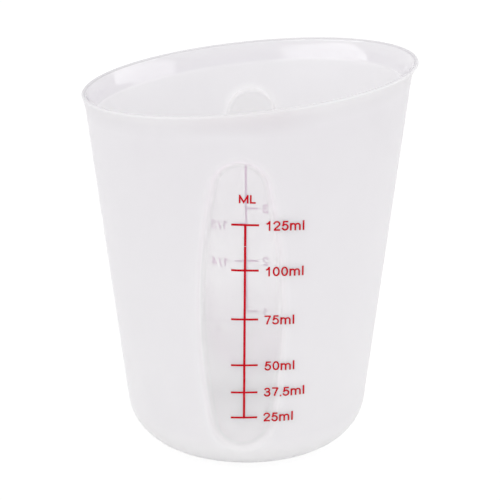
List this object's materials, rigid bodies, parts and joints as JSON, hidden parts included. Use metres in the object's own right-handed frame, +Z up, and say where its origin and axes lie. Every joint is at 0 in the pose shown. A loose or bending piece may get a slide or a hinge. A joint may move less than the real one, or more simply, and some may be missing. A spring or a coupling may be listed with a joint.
{
  "type": "silicone measuring cup",
  "caption": "Soft translucent measuring cup with a slanted, flared rim, a rounded foot and a pressed-in oval sight window with a printed red scale on the front and back.",
  "frame": {"origin": "middle of the flat underside, on the cup's axis", "axes": "+Z up along the cup's axis, +X towards the high side of the rim, where it pours, and -Y towards the front window"},
  "size_m": [0.0705, 0.0704, 0.0844],
  "materials": {
    "silicone": "satin",
    "red_ink": "satin"
  },
  "bodies": {
    "root": {"cup": "silicone"}
  },
  "joints": []
}
